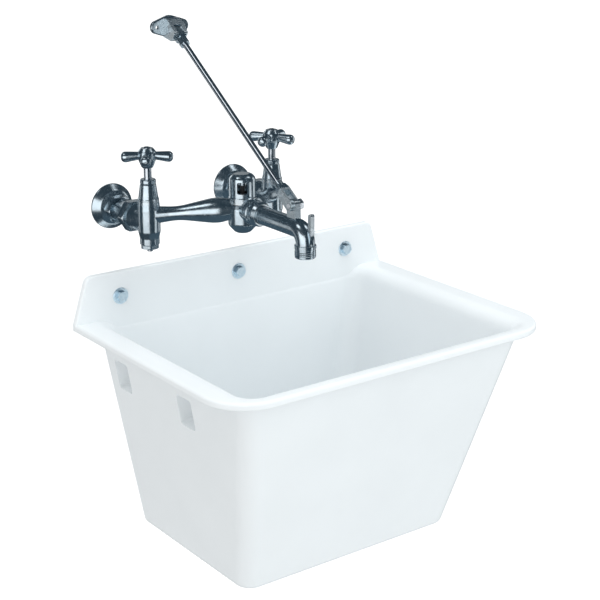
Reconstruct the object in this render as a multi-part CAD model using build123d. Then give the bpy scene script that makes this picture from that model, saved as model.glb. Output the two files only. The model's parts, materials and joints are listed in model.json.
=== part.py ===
from build123d import *
from math import atan2, cos, degrees, hypot, sin
import os

os.makedirs("parts", exist_ok=True)

# A wall-hung utility sink with a wall-braced service faucet above it. Millimetres.
# The origin is where the centre wall bolt crosses the wall face. +X is to the user's
# right, +Y points into the wall and +Z is up. A "reach" is a distance out from the wall.

# Fits, as gaps on one side
RUNNING = 0.08
THREAD = 0.10
SEATED = 0.10
APART = 0.30

# Tub
BOLT_SPACING = 203.2
RIM_DROP = 31.0
RIM_WIDTH = 553.0
RIM_DEPTH = 400.0
RIM_LIP = 11.0
SIDE_OVERHANG = 38.0
FRONT_OVERHANG = 22.0
RIM_CORNER_R = 66.0
LIP_TOP_R = 4.0
LIP_UNDER_R = 3.0
BASIN_HEIGHT = 328.0
BASE_WIDTH = 367.0
BASE_REACH = 288.0
BASE_SETBACK = 15.0
WALL = 8.0
FLOOR = 8.0
FRONT_CORNER_R = 26.0
REAR_CORNER_R = 12.0
BASIN_REAR_CORNER_R = 26.0
BASE_EDGE_R = 10.0
FLOOR_EDGE_R = 16.0
MOUTH_R = 22.0
COVE_R = 12.0
SPLASH_HEIGHT = 67.0
SPLASH_TOP_WIDTH = 511.0
SPLASH_THICK = 9.0
SPLASH_CORNER_R = 13.0
SPLASH_EDGE_R = 3.0

# Pockets sunk in the left wall under the rim
POCKET_REACHES = (52.0, 217.0)
POCKET_DROP = 74.0
POCKET_WIDTH = 36.0
POCKET_HEIGHT = 46.0
POCKET_DEPTH = 20.0
POCKET_SKIN = 4.0
POCKET_R = 5.0

# Wall bolts
BOLT_R = 4.75
BOLT_THREAD_R = 4.5
BOLT_BITE = 50.0
BOLT_TIP = 7.0
BOLT_HEAD_FLATS = 14.3
BOLT_HEAD_THICK = 6.4
BOLT_HOLE_R = 5.5
WASHER_R = 12.0
WASHER_THICK = 2.0

# Drain
DRAIN_REACH = 130.0
DRAIN_THREAD_R = 24.0
DRAIN_BORE_R = 19.5
DRAIN_FLANGE_R = 42.0
DRAIN_FLANGE_THICK = 3.0
DRAIN_PAD_R = 50.0
DRAIN_PAD_THICK = 7.0
DISH_R = 74.0
STRAINER_R = 30.0
STRAINER_THICK = 1.6
STRAINER_SLOTS = 8
GASKET_THICK = 3.0
SLIP_WASHER_THICK = 1.5
LOCKNUT_THICK = 11.0
LOCKNUT_FLATS = 66.0
TAIL_R = 19.05
TAIL_WALL = 1.5
TAIL_DROP = 86.0
TAIL_NUT_HEIGHT = 20.0

# Faucet layout
FAUCET_X = -105.5
INLET_Z = 131.0
INLET_SPREAD = 203.2
VALVE_REACH = 103.0
CENTRE_REACH = 178.0
OUTLET_REACH = 319.0
SPOUT_RISE = 18.0
ARM_RISE = 8.0

# Inlets, from the wall outwards
PIPE_R = 10.67
PIPE_BORE_R = 7.5
PIPE_BITE = 30.0
FLANGE_R = 32.0
FLANGE_DEPTH = 15.0
NIPPLE_HEX_FLATS = 35.0
NIPPLE_HEX_LENGTH = 14.0
NIPPLE_NECK_R = 12.5
NIPPLE_COLLAR_R = 14.2
COUPLING_START = 34.0
COUPLING_END = 70.0
COUPLING_FLATS = 41.0
SHANK_START = 63.2
SHANK_R = 16.4

# Valve bodies; heights count from the inlet axis
BODY_R = 14.2
BODY_TOP = 29.0
BODY_BOTTOM = -32.0
CHAMBER_R = 9.2
SEAT_Z = 3.0
SEAT_HEIGHT = 5.0
SEAT_BORE_R = 4.8
PORT_R = 5.2
STOP_SEAT_Z = -12.0
STOP_CHAMBER_R = 8.6

# Stems and bonnets
STEM_R = 5.25
STEM_THREAD_R = 6.0
SWIVEL_R = 2.5
VALVE_LEAD = 3.0
VALVE_TURNS = 1.5
BONNET_BOTTOM = 21.0
BONNET_TOP = 52.5
PACKING_R = 8.2
PACKING_Z = 43.0
PACKING_HEIGHT = 7.0
PACKING_NUT_R = 10.75
PACKING_NUT_TOP = 58.5
STEM_SQUARE = 8.0
STEM_SQUARE_Z = 75.0
STEM_TOP = 93.0

# Cross handles
HUB_BOTTOM = 73.5
HUB_TOP = 100.5
HUB_R = 12.2
HANDLE_ARM_Z = 91.0
HANDLE_REACH = 34.8
HANDLE_ARM_ROOT_R = 5.4
HANDLE_ARM_TIP_R = 7.2
HANDLE_DROOP = 5.0
HANDLE_TURNS = {"left": -33.5, "right": -61.5}
HANDLE_SCREW_R = 2.0
HANDLE_SCREW_HEAD_R = 4.8

# Screwdriver stops under the valve bodies
STOP_LEAD = 2.0
STOP_TURNS = 1.75
STOP_SPINDLE_R = 4.5
STOP_TIP_R = 3.9
STOP_TIP_Z = -42.0
STOP_CAP_R = 12.6
STOP_CAP_THICK = 5.4

# Centre body and vacuum breaker
CENTRE_R = 20.0
CENTRE_BOTTOM = -15.0
CENTRE_TOP = 25.0
NECK_R = 14.5
NECK_TOP = 33.0
NECK_BORE_R = 8.0
BREAKER_R = 17.8
BREAKER_SKIRT_R = 18.8
BREAKER_TOP = 66.0
BREAKER_WALL = 2.2
BREAKER_WINDOWS = 3
BREAKER_TURN = -126.0
WINDOW_WIDTH = 13.5
WINDOW_CORNER_R = 2.5
FLOAT_R = 11.5
FLOAT_THICK = 2.4
FLOAT_TRAVEL = 2.6
FLOAT_STEM_R = 3.0

# Spout
SPOUT_R = 12.4
SPOUT_BORE_R = 9.0
SPOUT_BEND_R = 16.5
SPIGOT_R = 10.9
SPIGOT_LENGTH = 8.0
SPOUT_START = 206.8
SPOUT_COLLAR_R = 14.2
BOSS_R = 15.0
SPOUT_NUT_R = 17.3
SPOUT_NUT_LENGTH = 25.0
NOZZLE_RIM_R = 14.1
NOZZLE_THREAD_R = 13.45
NOZZLE_LENGTH = 17.0
HOOK_TOP = 42.0
HOOK_WIDTH = 6.0
HOOK_THICK = 5.6
LUG_WIDTH = 8.4
LUG_TOP = 53.5
LUG_END = 303.0

# Brace
BRACE_PIVOT_REACH = 292.0
BRACE_PIVOT_RISE = 45.5
BRACKET_PIVOT_REACH = 20.0
BRACKET_PIVOT_RISE = 237.0
ROD_R = 4.0
FORK_GAP = LUG_WIDTH + 2 * APART
FORK_TINE = 3.0
FORK_R = 6.6
FORK_SLOT = 22.0
FORK_LENGTH = 40.0
BRACE_BOLT_R = 4.0
BRACE_BOLT_FLATS = 13.0
EYE_THICK = 11.0
EYE_R = 7.0
EYE_FLAT = 16.0
EYE_LENGTH = 28.0
EYE_HEX_FLATS = 13.0
PIN_R = 3.0
BRACKET_EARS = 42.0
BRACKET_EAR_R = 9.0
BRACKET_CENTRE_R = 15.5
BRACKET_THICK = 5.0
BRACKET_HOLE_R = 2.6
BRACKET_CHEEKS = 22.0

# Derived heights and places
RIM_Z = -RIM_DROP
LIP_Z = RIM_Z - RIM_LIP
BASE_Z = RIM_Z - BASIN_HEIGHT
FLOOR_Z = BASE_Z + FLOOR
PAD_Z = BASE_Z - DRAIN_PAD_THICK
VALVE_XS = {"left": FAUCET_X - INLET_SPREAD / 2, "right": FAUCET_X + INLET_SPREAD / 2}
FAR = 1000.0


def turned(corners, rounds=None):
    """Solid of revolution about +Z from (radius, height) corners; rounds gives fillets by index."""
    face = make_face(Polyline(*corners, close=True))
    for index, radius in (rounds or {}).items():
        corner = face.vertices().sort_by_distance(Vector(*corners[index], 0))[0]
        face = fillet(corner, radius)
    return Rot(X=90) * revolve(face, Axis.Y)


def out_from_wall(solid):
    """Lay a solid that stands on +Z so that its height becomes its reach out from the wall."""
    return Rot(X=90) * solid


def hexagon(flats, height):
    """Upright hexagonal prism with its corners broken, base at z = 0."""
    prism = extrude(RegularPolygon(flats / 2, 6, major_radius=False), height)
    return prism & turned([(0, 0), (flats * 0.54, 0), (flats * 0.57, flats * 0.03),
                           (flats * 0.57, height - flats * 0.03), (flats * 0.54, height), (0, height)])


def bored(radius, low, high):
    """Upright cylinder between two heights."""
    return Pos(0, 0, (low + high) / 2) * Cylinder(radius, high - low)


def ring(inner, outer, low, high):
    """Plain ring between two heights."""
    return bored(outer, low, high) - bored(inner, low, high)


def side_profile(points, width, rounds=None):
    """Plate of the given width across X, cut to an outline of (reach, height) points."""
    face = make_face(Polyline(*points, close=True))
    for index, radius in (rounds or {}).items():
        corner = face.vertices().sort_by_distance(Vector(*points[index], 0))[0]
        face = fillet(corner, radius)
    plate = extrude(face, width / 2, both=True)
    return Plane(origin=(0, 0, 0), x_dir=(0, -1, 0), z_dir=(-1, 0, 0)) * plate


# --- Tub -------------------------------------------------------------------------------


def outer_wall(z):
    """Half width, front reach and rear setback of the tub's outer wall at a height."""
    t = (z - BASE_Z) / (LIP_Z - BASE_Z)
    half_width = BASE_WIDTH / 2 + t * (RIM_WIDTH / 2 - SIDE_OVERHANG - BASE_WIDTH / 2)
    front = BASE_REACH + t * (RIM_DEPTH - FRONT_OVERHANG - BASE_REACH)
    return half_width, front, BASE_SETBACK * (1 - t)


def inner_wall(z):
    """The same three for the basin inside the wall; its back runs up to the splash's face."""
    half_width, front, _ = outer_wall(z)
    t = (z - FLOOR_Z) / (RIM_Z - FLOOR_Z)
    back = (BASE_SETBACK + WALL) * (1 - t) + SPLASH_THICK * t
    return half_width - WALL, front - WALL, back


def upright_edges(solid):
    """Edges that run more up than along, front ones first."""
    runs = [(e, e @ 1 - e @ 0) for e in solid.edges()]
    return ShapeList(e for e, run in runs if abs(run.Z) > hypot(run.X, run.Y)).sort_by(Axis.Y)


def flared_block(low_size, low_z, high_size, high_z, front_r, rear_r, base_r):
    """Block with flat leaning sides, its four upright edges and its base edges rounded."""
    rings = [[(-half_width, -back, z), (half_width, -back, z), (half_width, -front, z), (-half_width, -front, z)]
             for (half_width, front, back), z in ((low_size, low_z), (high_size, high_z))]
    low, high = rings
    sides = [(low[i - 1], low[i], high[i], high[i - 1]) for i in range(4)]
    block = Solid(Shell([make_face(Polyline(*points, close=True)).face() for points in rings + sides]))
    block = fillet(upright_edges(block)[:2], front_r)
    block = fillet(upright_edges(block)[-2:], rear_r)
    return fillet(edges_at(block, low_z), base_r)


def edges_at(solid, z):
    """Edges that lie flat at a height."""
    boxes = [(e, e.bounding_box()) for e in solid.edges()]
    return [e for e, box in boxes if abs(box.min.Z - z) + abs(box.max.Z - z) < 0.01]


def opening_edges(solid, z):
    """Edges of the hole in the flat horizontal face at a height."""
    level = [f for f in solid.faces().filter_by(GeomType.PLANE) if abs(f.center().Z - z) < 0.01]
    outline = [f for f in level if f.inner_wires()][0].inner_wires()[0].edges()
    return [e for e in solid.edges() if any((e.center() - o.center()).length < 0.01 for o in outline)]


def rim_slab():
    """The flat rim, run on past the wall face so that its rounds meet the wall square."""
    half_width = RIM_WIDTH / 2
    face = make_face(Polyline((-half_width, COVE_R * 2), (half_width, COVE_R * 2),
                              (half_width, -RIM_DEPTH), (-half_width, -RIM_DEPTH), close=True))
    face = fillet(face.vertices().sort_by(Axis.Y)[:2], RIM_CORNER_R)
    slab = Pos(0, 0, LIP_Z) * extrude(face, RIM_LIP)
    sides = [e for e in edges_at(slab, RIM_Z) if e.center().Y < COVE_R]
    slab = fillet(sides, LIP_TOP_R)
    sides = [e for e in edges_at(slab, LIP_Z) if e.center().Y < COVE_R]
    return fillet(sides, LIP_UNDER_R)


def splash():
    """Leaning-sided upstand behind the rim, with a tongue that closes the basin's rear mouth."""
    low, high = RIM_WIDTH / 2, SPLASH_TOP_WIDTH / 2
    top = RIM_Z + SPLASH_HEIGHT
    tongue = RIM_WIDTH / 2 - SIDE_OVERHANG - WALL * 2
    face = make_face(Polyline((-low, LIP_Z + LIP_UNDER_R), (-low, RIM_Z), (-high, top), (high, top),
                              (low, RIM_Z), (low, LIP_Z + LIP_UNDER_R), (tongue, LIP_Z + LIP_UNDER_R),
                              (tongue, LIP_Z - MOUTH_R), (-tongue, LIP_Z - MOUTH_R),
                              (-tongue, LIP_Z + LIP_UNDER_R), close=True))
    face = fillet(face.vertices().sort_by(Axis.Y)[-2:], SPLASH_CORNER_R)
    plate = Rot(X=90) * extrude(face, SPLASH_THICK)
    front = [e for e in plate.edges()
             if e.bounding_box().max.Y < 0.01 - SPLASH_THICK and e.center().Z > RIM_Z + SPLASH_EDGE_R]
    return fillet(front, SPLASH_EDGE_R)


def pocket_frame(reach):
    """Plane on the left wall's outer face, its normal into the basin."""
    z = RIM_Z - POCKET_DROP
    lean = atan2(outer_wall(LIP_Z)[0] - outer_wall(BASE_Z)[0], LIP_Z - BASE_Z)
    return Plane(origin=(-outer_wall(z)[0], -reach, z), x_dir=(0, 1, 0), z_dir=(cos(lean), 0, sin(lean)))


def pocket_boss(reach):
    block = extrude(RectangleRounded(POCKET_WIDTH + 2 * POCKET_SKIN, POCKET_HEIGHT + 2 * POCKET_SKIN,
                                     POCKET_R + POCKET_SKIN), POCKET_DEPTH + POCKET_SKIN)
    block = fillet(edges_at(block, POCKET_DEPTH + POCKET_SKIN), POCKET_R)
    return pocket_frame(reach) * (block - Box(FAR, FAR, WALL))


def pocket_void(reach):
    hollow = extrude(RectangleRounded(POCKET_WIDTH, POCKET_HEIGHT, POCKET_R), POCKET_DEPTH + WALL)
    return pocket_frame(reach) * Pos(0, 0, -WALL) * hollow


def tub():
    shell = flared_block(outer_wall(BASE_Z), BASE_Z, outer_wall(LIP_Z), LIP_Z,
                         FRONT_CORNER_R, REAR_CORNER_R, BASE_EDGE_R)
    basin = flared_block(inner_wall(FLOOR_Z), FLOOR_Z, inner_wall(RIM_Z), RIM_Z,
                         FRONT_CORNER_R - WALL, BASIN_REAR_CORNER_R, FLOOR_EDGE_R)
    solid = shell + rim_slab() - basin
    solid = fillet(opening_edges(solid, RIM_Z), MOUTH_R)
    solid = fillet(opening_edges(solid, LIP_Z), COVE_R)
    solid -= Pos(0, FAR / 2, 0) * Box(FAR, FAR, FAR * 2)
    solid += splash()
    for reach in POCKET_REACHES:
        solid += pocket_boss(reach)
        solid -= pocket_void(reach)
    drain = Pos(0, -DRAIN_REACH, 0)
    solid += drain * turned([(0, PAD_Z), (DRAIN_PAD_R, PAD_Z), (DRAIN_PAD_R + 3, BASE_Z + 1),
                             (0, BASE_Z + 1)])
    recess = FLOOR_Z - DRAIN_FLANGE_THICK - SEATED
    solid -= drain * turned([(0, PAD_Z - 1), (DRAIN_THREAD_R + APART, PAD_Z - 1),
                             (DRAIN_THREAD_R + APART, recess), (DRAIN_FLANGE_R + APART, recess),
                             (DRAIN_FLANGE_R + APART, FLOOR_Z - 1),
                             (DISH_R, FLOOR_Z), (DISH_R, FLOOR_Z + 1), (0, FLOOR_Z + 1)])
    for place in (-1, 0, 1):
        solid -= Pos(place * BOLT_SPACING, 0, 0) * out_from_wall(bored(BOLT_HOLE_R, -1, SPLASH_THICK + 1))
    return solid


def wall_bolt():
    """Hex lag bolt: head on its washer, plain shank to the wall face, thread and point beyond it."""
    head_z = SPLASH_THICK + WASHER_THICK
    shank = turned([(0, -BOLT_BITE - BOLT_TIP), (BOLT_THREAD_R, -BOLT_BITE), (BOLT_THREAD_R, 0),
                    (BOLT_R, 0), (BOLT_R, head_z), (0, head_z)])
    return out_from_wall(shank + Pos(0, 0, head_z) * hexagon(BOLT_HEAD_FLATS, BOLT_HEAD_THICK))


def bolt_row(piece):
    return Compound(children=[Pos(place * BOLT_SPACING, 0, 0) * piece for place in (-1, 0, 1)])


def bolt_washer():
    washer = ring(BOLT_R + APART, WASHER_R, SPLASH_THICK, SPLASH_THICK + WASHER_THICK)
    return out_from_wall(chamfer(washer.edges().group_by(Axis.Z)[-1].sort_by(SortBy.LENGTH)[-1], 0.6))


# --- Drain: all heights run down from the basin floor ------------------------------------

GASKET_Z = PAD_Z - GASKET_THICK
SLIP_Z = GASKET_Z - SLIP_WASHER_THICK
LOCKNUT_Z = SLIP_Z - LOCKNUT_THICK
DRAIN_END_Z = LOCKNUT_Z - TAIL_NUT_HEIGHT * 0.7
TAIL_NUT_LOW = DRAIN_END_Z - TAIL_NUT_HEIGHT * 0.38
STRAINER_Z = FLOOR_Z - 6.0


def drain_body():
    """Flanged drain with a dished mouth, a ledge for the strainer and a crossbar for its screw."""
    flange_z = FLOOR_Z - DRAIN_FLANGE_THICK
    cup_z = STRAINER_Z - STRAINER_THICK - 4
    body = turned([(DRAIN_BORE_R, DRAIN_END_Z), (DRAIN_THREAD_R, DRAIN_END_Z), (DRAIN_THREAD_R, flange_z),
                   (DRAIN_FLANGE_R, flange_z), (DRAIN_FLANGE_R, FLOOR_Z - 0.5),
                   (DRAIN_FLANGE_R - 1.5, FLOOR_Z),
                   (STRAINER_R + 4, FLOOR_Z), (DRAIN_BORE_R + 2, STRAINER_Z - STRAINER_THICK),
                   (DRAIN_BORE_R, STRAINER_Z - STRAINER_THICK)])
    bar = Pos(0, 0, (cup_z - 6 + STRAINER_Z - STRAINER_THICK) / 2) * Box(
        DRAIN_BORE_R * 2 + 2, 7, STRAINER_Z - STRAINER_THICK - cup_z + 6)
    screw = bored(2.5 + RUNNING, cup_z - 20, STRAINER_Z)
    return body + (bar - screw)


def drain_strainer():
    """Slotted plate that drops into the mouth's taper."""
    reach = DRAIN_BORE_R + 1.6
    plate = turned([(0, STRAINER_Z - STRAINER_THICK), (reach, STRAINER_Z - STRAINER_THICK),
                    (reach + 1.5, STRAINER_Z), (0, STRAINER_Z)])
    slot = Pos(12.0, 0, STRAINER_Z) * extrude(SlotOverall(11.0, 3.6), 4, both=True)
    for turn in range(STRAINER_SLOTS):
        plate -= Rot(Z=turn * 360 / STRAINER_SLOTS) * slot
    return plate - bored(2.5 + RUNNING, STRAINER_Z - 5, STRAINER_Z + 5)


def strainer_screw():
    head = turned([(0, STRAINER_Z - 12), (2.5, STRAINER_Z - 12), (2.5, STRAINER_Z), (4.6, STRAINER_Z),
                   (4.6, STRAINER_Z + 1), (3.2, STRAINER_Z + 2.6), (0, STRAINER_Z + 2.6)])
    return head - Pos(0, 0, STRAINER_Z + 2.6) * Box(12, 1.1, 2.4)


def drain_tailpiece():
    """Flanged tube that the trap slips onto."""
    end_z = DRAIN_END_Z - 2.0 - SEATED
    neck_z = TAIL_NUT_LOW - 1
    return turned([(TAIL_R - TAIL_WALL, BASE_Z - TAIL_DROP), (TAIL_R, BASE_Z - TAIL_DROP), (TAIL_R, neck_z),
                   (TAIL_R + APART, neck_z), (TAIL_R + APART, end_z - 2),
                   (DRAIN_THREAD_R - 1, end_z - 2),
                   (DRAIN_THREAD_R - 1, end_z), (TAIL_R - TAIL_WALL, end_z)])


def tailpiece_nut():
    shelf = DRAIN_END_Z - 4.0 - 3 * SEATED
    outside = Pos(0, 0, TAIL_NUT_LOW) * hexagon(DRAIN_THREAD_R * 2 + 9, TAIL_NUT_HEIGHT)
    outside -= bored(TAIL_R + APART * 2, TAIL_NUT_LOW - 1, DRAIN_END_Z)
    return outside - bored(DRAIN_THREAD_R + THREAD, shelf, LOCKNUT_Z)


def drain_set():
    bore = DRAIN_THREAD_R + THREAD
    locknut = Pos(0, 0, LOCKNUT_Z) * hexagon(LOCKNUT_FLATS, LOCKNUT_THICK - SEATED)
    locknut -= bored(bore, LOCKNUT_Z - 1, SLIP_Z)
    return {
        "drain_body": drain_body(),
        "drain_strainer": drain_strainer(),
        "strainer_screw": strainer_screw(),
        "drain_gasket": ring(bore, DRAIN_PAD_R - 6, GASKET_Z, PAD_Z),
        "drain_slip_washer": ring(bore, DRAIN_PAD_R - 8, SLIP_Z, GASKET_Z),
        "drain_locknut": locknut,
        "drain_tailpiece": drain_tailpiece(),
        "tailpiece_washer": ring(TAIL_R - TAIL_WALL, DRAIN_THREAD_R - 1, DRAIN_END_Z - 2.0, DRAIN_END_Z),
        "tailpiece_nut": tailpiece_nut(),
    }


# --- Inlets: heights here are reaches out from the wall -----------------------------------


def wall_flange():
    """Bell-shaped cover plate that hides the pipe's hole in the wall."""
    depth, skin = FLANGE_DEPTH, 1.6
    neck = PIPE_R + 4
    return turned([(FLANGE_R, 0), (FLANGE_R, 2.5), (FLANGE_R - 8, depth - 4), (neck, depth),
                   (PIPE_R + APART * 2, depth), (PIPE_R + APART * 2, depth - skin), (neck, depth - skin),
                   (FLANGE_R - 9, depth - 4 - skin), (FLANGE_R - skin, 2.5), (FLANGE_R - skin, 0)],
                  {1: 1.2, 2: 8.0})


def inlet_nipple():
    """Supply nipple: pipe thread into the wall, wrench hexagon, neck and the collar that the nut pulls on."""
    hex_end = FLANGE_DEPTH + SEATED + NIPPLE_HEX_LENGTH
    collar = SHANK_START - 2.0 - SEATED
    nipple = turned([(0, -PIPE_BITE), (PIPE_R, -PIPE_BITE), (PIPE_R, 0), (PIPE_R + APART, 0),
                     (PIPE_R + APART, FLANGE_DEPTH + 1), (NIPPLE_NECK_R, FLANGE_DEPTH + 1),
                     (NIPPLE_NECK_R, collar - 3),
                     (NIPPLE_COLLAR_R, collar - 3), (NIPPLE_COLLAR_R, collar), (0, collar)])
    nipple += Pos(0, 0, FLANGE_DEPTH + SEATED) * hexagon(NIPPLE_HEX_FLATS, hex_end - FLANGE_DEPTH - SEATED)
    return nipple - bored(PIPE_BORE_R, -PIPE_BITE - 1, collar + 1)


def coupling_nut():
    """Union nut: a long taper that swells into a wrench collar."""
    hex_start = COUPLING_END - 12
    taper = turned([(0, COUPLING_START), (15.6, COUPLING_START), (16.6, COUPLING_START + 1),
                    (COUPLING_FLATS / 2, hex_start), (COUPLING_FLATS / 2, hex_start + 1), (0, hex_start + 1)])
    nut = taper + Pos(0, 0, hex_start) * hexagon(COUPLING_FLATS, COUPLING_END - hex_start)
    shelf = SHANK_START - 5.0 - 2 * SEATED
    nut -= bored(NIPPLE_NECK_R + APART, COUPLING_START - 1, COUPLING_END)
    return nut - bored(SHANK_R + THREAD, shelf, COUPLING_END + 1)


def coupling_washer():
    return ring(PIPE_BORE_R, NIPPLE_COLLAR_R, SHANK_START - 2.0, SHANK_START)


# --- Faucet body ---------------------------------------------------------------------------

ARM_SPAN = hypot(INLET_SPREAD / 2, CENTRE_REACH - VALVE_REACH)
ARM_CLIMB = SPOUT_RISE - ARM_RISE
ARM_LENGTH = hypot(ARM_SPAN, ARM_CLIMB)


def arm_frame(side, start_rise, end_rise):
    """Plane whose normal runs from a valve's axis to the centre body's axis."""
    x = -INLET_SPREAD / 2 if side == "left" else INLET_SPREAD / 2
    run = Vector(-x, VALVE_REACH - CENTRE_REACH, end_rise - start_rise)
    return Plane(origin=(x, -VALVE_REACH, start_rise), z_dir=run)


def arm():
    """Hollow-waisted arm: slim near the valve, swelling into the centre body."""
    waist = BODY_R * 0.63
    swell = CENTRE_R * 0.85
    neck = CENTRE_R * 0.55
    return turned([(0, 0), (BODY_R * 0.9, 0), (waist, ARM_LENGTH * 0.31), (swell, ARM_LENGTH * 0.68),
                   (swell, ARM_LENGTH * 0.76), (neck, ARM_LENGTH), (0, ARM_LENGTH)],
                  {2: 90.0, 3: 60.0, 4: 45.0})


def valve_body():
    return turned([(0, BODY_BOTTOM), (BODY_R - 1.6, BODY_BOTTOM), (BODY_R - 0.8, BODY_BOTTOM + 1),
                   (BODY_R - 0.8, BODY_BOTTOM + 10), (BODY_R + 1, BODY_BOTTOM + 18),
                   (BODY_R + 1, BODY_TOP - 12), (BODY_R, BODY_TOP), (0, BODY_TOP)],
                  {3: 10.0, 4: 10.0, 5: 20.0})


def inlet_shank():
    """Threaded shank that flares into the valve body."""
    return turned([(0, SHANK_START), (SHANK_R, SHANK_START), (SHANK_R, COUPLING_END + 2),
                   (SHANK_R + 3, COUPLING_END + 3.5), (SHANK_R + 1, VALVE_REACH - BODY_R - 4),
                   (BODY_R - 2, VALVE_REACH - 3), (0, VALVE_REACH - 3)], {3: 2.0, 4: 12.0})


def valve_passages():
    """Chambers, seat port and stop port of one valve body."""
    return (bored(CHAMBER_R, SEAT_Z, BODY_TOP + 1) + bored(PORT_R, STOP_SEAT_Z - 1, SEAT_Z + 1)
            + bored(STOP_CHAMBER_R, BODY_BOTTOM - 1, STOP_SEAT_Z))


def inlet_passage():
    """Straight inlet bore that drops on a slant into the stop chamber."""
    elbow = (0, -(VALVE_REACH - 2 * BODY_R + 4), 0)
    drop = Plane(origin=elbow, z_dir=(0, -(2 * BODY_R - 6), STOP_SEAT_Z - 8))
    slant = drop * bored(4.0, 0, 2 * BODY_R + 1)
    straight = out_from_wall(bored(6.0, SHANK_START - 1, -elbow[1]))
    return straight + Pos(*elbow) * Sphere(6.0) + slant


def centre_body():
    return turned([(0, CENTRE_BOTTOM), (10, CENTRE_BOTTOM), (CENTRE_R, CENTRE_BOTTOM + 11),
                   (CENTRE_R, CENTRE_TOP - 6), (CENTRE_R - 2.5, CENTRE_TOP), (NECK_R, CENTRE_TOP),
                   (NECK_R, NECK_TOP), (0, NECK_TOP)], {1: 9.0, 2: 9.0, 3: 4.0})


def faucet_body():
    """One casting: two valve bodies, their inlet shanks, two arms and the centre body."""
    boss = out_from_wall(bored(BOSS_R, CENTRE_REACH, SPOUT_START - SEATED * 4 - 2))
    solid = Pos(0, 0, SPOUT_RISE) * boss
    for side in ("left", "right"):
        x = -INLET_SPREAD / 2 if side == "left" else INLET_SPREAD / 2
        solid += Pos(x, -VALVE_REACH, 0) * valve_body()
        solid += Pos(x, 0, 0) * out_from_wall(inlet_shank())
        solid += arm_frame(side, ARM_RISE, SPOUT_RISE) * arm()
    solid -= Pos(0, -CENTRE_REACH, 0) * bored(BREAKER_SKIRT_R + APART, CENTRE_TOP, BREAKER_TOP)
    solid += Pos(0, -CENTRE_REACH, 0) * centre_body()
    chamber = turned([(0, CENTRE_BOTTOM + 7), (CENTRE_R - 7, CENTRE_BOTTOM + 7), (CENTRE_R - 7, SPOUT_RISE),
                      (NECK_BORE_R, CENTRE_TOP - 3), (NECK_BORE_R, NECK_TOP + 1), (0, NECK_TOP + 1)])
    solid -= Pos(0, -CENTRE_REACH, 0) * chamber
    solid -= Pos(0, 0, SPOUT_RISE) * out_from_wall(bored(SPOUT_BORE_R - 1, CENTRE_REACH, SPOUT_START + 1))
    for side in ("left", "right"):
        x = -INLET_SPREAD / 2 if side == "left" else INLET_SPREAD / 2
        solid -= Pos(x, -VALVE_REACH, 0) * valve_passages()
        solid -= Pos(x, 0, 0) * inlet_passage()
        solid -= arm_frame(side, ARM_RISE + 7, SPOUT_RISE) * bored(4.0, 0, ARM_LENGTH - CENTRE_R + 8)
    return solid


# --- Valve pieces; heights count from the inlet axis -----------------------------------------

WASHER_Z = SEAT_Z + SEAT_HEIGHT + 0.2
HOLDER_Z = WASHER_Z + 3.3
HOLDER_TOP = HOLDER_Z + 6.5


def valve_seat():
    return turned([(SEAT_BORE_R, SEAT_Z), (CHAMBER_R - THREAD, SEAT_Z), (CHAMBER_R - THREAD, SEAT_Z + 3.6),
                   (SEAT_BORE_R + 2, SEAT_Z + 3.6), (SEAT_BORE_R + 1.2, SEAT_Z + SEAT_HEIGHT),
                   (SEAT_BORE_R, SEAT_Z + SEAT_HEIGHT)])


def washer_holder():
    """Cup that carries the seat washer and swivels on the stem's pin."""
    cup = turned([(0, HOLDER_Z), (CHAMBER_R - 2.2, HOLDER_Z), (CHAMBER_R - 2.2, WASHER_Z + 1.4),
                  (CHAMBER_R - 1.4, WASHER_Z + 1.4), (CHAMBER_R - 1.4, HOLDER_Z + 3),
                  (4.5, HOLDER_Z + 3), (4.5, HOLDER_TOP), (0, HOLDER_TOP)])
    return cup - bored(SWIVEL_R + RUNNING, HOLDER_Z + 1, HOLDER_TOP + 1)


def seat_washer():
    return bored(CHAMBER_R - 2.5, WASHER_Z, HOLDER_Z - SEATED)


def stem():
    """Swivel pin, threaded length, plain shank through the packing, and the square for the handle."""
    thread_top = BONNET_BOTTOM + 12
    shaft = turned([(0, HOLDER_Z + 1.3), (SWIVEL_R, HOLDER_Z + 1.3), (SWIVEL_R, HOLDER_TOP + APART),
                    (STEM_THREAD_R, HOLDER_TOP + APART), (STEM_THREAD_R, thread_top), (STEM_R, thread_top),
                    (STEM_R, STEM_SQUARE_Z), (0, STEM_SQUARE_Z)])
    square = Box(STEM_SQUARE, STEM_SQUARE, STEM_TOP - STEM_SQUARE_Z)
    square = Pos(0, 0, (STEM_SQUARE_Z + STEM_TOP) / 2) * square
    return shaft + square - bored(HANDLE_SCREW_R + THREAD, STEM_TOP - 15, STEM_TOP + 1)


def bonnet():
    """Tapered bonnet: thread for the stem below, packing chamber above."""
    ledge = PACKING_Z - 4
    return turned([(STEM_THREAD_R + RUNNING, BONNET_BOTTOM), (CHAMBER_R - THREAD, BONNET_BOTTOM),
                   (CHAMBER_R - THREAD, BODY_TOP + SEATED), (BODY_R, BODY_TOP + SEATED),
                   (BODY_R, BODY_TOP + 2.5), (BODY_R - 0.7, BODY_TOP + 3.2),
                   (PACKING_NUT_R + 0.2, BONNET_TOP - 1.5),
                   (PACKING_NUT_R - 0.7, BONNET_TOP), (PACKING_R, BONNET_TOP), (PACKING_R, PACKING_Z),
                   (STEM_R + RUNNING, PACKING_Z), (STEM_R + RUNNING, ledge),
                   (STEM_THREAD_R + RUNNING, ledge)])


def stem_packing():
    return ring(STEM_R + RUNNING, PACKING_R - SEATED, PACKING_Z + SEATED, PACKING_Z + PACKING_HEIGHT)


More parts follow.
